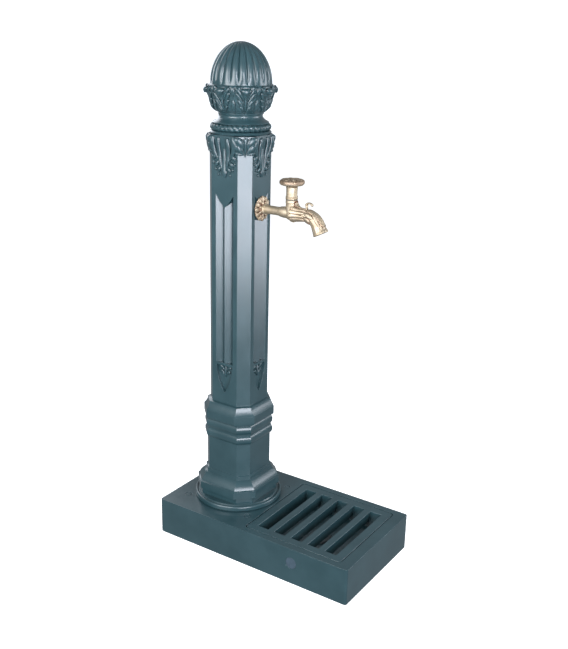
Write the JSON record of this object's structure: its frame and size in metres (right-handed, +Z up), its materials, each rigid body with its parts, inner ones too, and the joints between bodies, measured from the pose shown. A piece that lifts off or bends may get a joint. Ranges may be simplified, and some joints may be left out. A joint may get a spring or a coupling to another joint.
{
  "type": "drinking fountain",
  "caption": "Garden drinking fountain: chamfered square column with an acorn finial on a box tray with a lift-out grate, and a wheel-head tap.",
  "frame": {"origin": "middle of the tray's underside, on the ground", "axes": "+Z up, +X along the tray from the column towards the grate, the way the tap points"},
  "size_m": [0.536, 0.294, 1.181],
  "materials": {
    "green_enamel": "satin green enamel over a cast surface",
    "tap_brass": "polished cast brass, tarnished in the hollows",
    "fitting_brass": "machined brass",
    "zinc_steel": "zinc plated",
    "drain_steel": "brushed stainless steel",
    "black_rubber": "matt moulded rubber",
    "grey_plastic": "moulded nylon",
    "copper_pipe": "drawn copper tube"
  },
  "bodies": {
    "fountain": {"base_tray": "green_enamel", "waste_body": "drain_steel", "waste_gasket": "black_rubber", "waste_locknut": "drain_steel", "outlet_plug": "grey_plastic", "outlet_seal": "black_rubber", "anchor_caps": "green_enamel", "flange_gasket": "black_rubber", "base_flange": "green_enamel", "column_bolts": "zinc_steel", "column_washers": "zinc_steel", "column": "green_enamel", "finial_seal": "black_rubber", "finial": "green_enamel", "finial_stud": "zinc_steel", "finial_washer": "zinc_steel", "finial_nut": "zinc_steel", "tap_rosette": "tap_brass", "tap_body": "tap_brass", "tap_seal": "black_rubber", "tap_backnut": "fitting_brass", "bonnet_washer": "black_rubber", "bonnet": "tap_brass", "gland_packing": "grey_plastic", "gland_nut": "fitting_brass", "riser_elbow": "fitting_brass", "riser_nut": "fitting_brass", "riser_pipe": "copper_pipe", "riser_spacers": "grey_plastic", "inlet_nut": "fitting_brass", "inlet_coupling": "fitting_brass"},
    "grate": {"drain_grate": "green_enamel"},
    "tap_wheel": {"spindle": "tap_brass", "handwheel": "tap_brass", "handwheel_screw": "tap_brass"},
    "valve": {"valve_carrier": "fitting_brass", "valve_washer": "black_rubber", "valve_nut": "fitting_brass"}
  },
  "joints": [
    {"name": "wheel_turn", "type": "hinge", "parent": "fountain", "child": "tap_wheel", "pos_m": [0.004, 0, 0.85], "axis": [0, 0, 1], "range_deg": [0, 720]},
    {"name": "valve_rise", "type": "slide", "parent": "fountain", "child": "valve", "axis": [0, 0, 1], "range_m": [0, 0.0051]},
    {"name": "grate_lift", "type": "slide", "parent": "fountain", "child": "grate", "axis": [0, 0, 1], "range_m": [0, 0.06]}
  ],
  "couplings": [
    {"joint": "valve_rise", "follows": "wheel_turn", "m_per_rad": 0.00039789}
  ]
}
